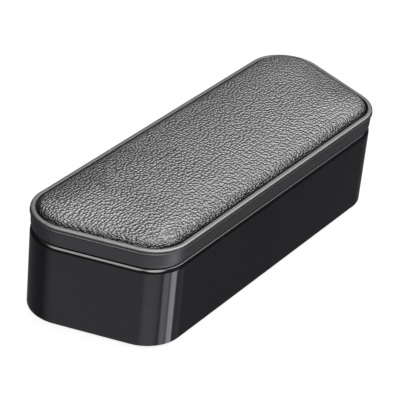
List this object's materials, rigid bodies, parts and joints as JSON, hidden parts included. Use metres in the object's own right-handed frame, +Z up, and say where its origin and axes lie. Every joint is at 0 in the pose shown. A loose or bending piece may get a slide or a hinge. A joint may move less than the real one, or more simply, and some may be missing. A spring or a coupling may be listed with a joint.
{
  "type": "watch demagnetizer",
  "caption": "Small trapezoid box with a padded leather top, a coil inside that demagnetizes a watch laid on it, and a button, lamp and charging socket on the back.",
  "frame": {"origin": "middle of the object's box, on the plane that the feet stand on", "axes": "+Z up, +X along the length, +Y towards the long back side with the button, lamp and socket"},
  "size_m": [0.1008, 0.0358, 0.0275],
  "materials": {
    "gloss_case": "polished black moulding",
    "satin_bezel": "satin charcoal moulding",
    "black_screw": "black oxide",
    "foot_rubber": "matt moulded rubber",
    "label_film": "blank satin film",
    "inner_plastic": "fine spark-eroded texture",
    "pad_foam": "open-cell foam",
    "pad_leather": "pebbled synthetic leather, light sheen",
    "white_nylon": "natural nylon",
    "copper_wire": "enamelled copper",
    "ferrite": "sintered, matt",
    "steel": "zinc-plated",
    "circuit_board": "green solder mask",
    "chip_epoxy": "moulded epoxy",
    "capacitor_sleeve": "heat-shrunk sleeve",
    "clear_plastic": "clear moulding",
    "cell_foil": "laminated foil",
    "red_insulation": "wire insulation",
    "black_insulation": "wire insulation"
  },
  "bodies": {
    "case": {"lower_case": "gloss_case", "top_bezel": "satin_bezel", "case_screw_1": "black_screw", "case_screw_2": "black_screw", "case_screw_3": "black_screw", "case_screw_4": "black_screw", "foot_1": "foot_rubber", "foot_2": "foot_rubber", "foot_3": "foot_rubber", "foot_4": "foot_rubber", "base_label": "label_film", "pad_plate": "inner_plastic", "pad_foam": "pad_foam", "pad_cover": "pad_leather", "coil_bobbin": "white_nylon", "coil_winding": "copper_wire", "coil_core": "ferrite", "coil_lead_1": "copper_wire", "coil_lead_2": "copper_wire", "coil_screw_1": "steel", "coil_screw_2": "steel", "main_board": "circuit_board", "board_screw_1": "steel", "board_screw_2": "steel", "board_screw_3": "steel", "controller_chip": "chip_epoxy", "charger_chip": "chip_epoxy", "mosfet_1": "chip_epoxy", "mosfet_2": "chip_epoxy", "flyback_diode": "chip_epoxy", "boost_inductor": "ferrite", "storage_capacitor": "capacitor_sleeve", "status_led": "clear_plastic", "light_pipe": "clear_plastic", "battery_cell": "cell_foil", "battery_pad": "pad_foam", "battery_socket": "white_nylon", "battery_plug": "white_nylon", "battery_lead_red": "red_insulation", "battery_lead_black": "black_insulation", "charging_socket": "steel", "charging_tongue": "chip_epoxy", "switch_body": "chip_epoxy"},
    "button": {"button_cap": "satin_bezel", "switch_plunger": "white_nylon"}
  },
  "joints": [
    {"name": "button_press", "type": "slide", "parent": "case", "child": "button", "axis": [0, -1, 0], "range_m": [0, 0.0004], "stiffness_N_per_m": 1500}
  ]
}
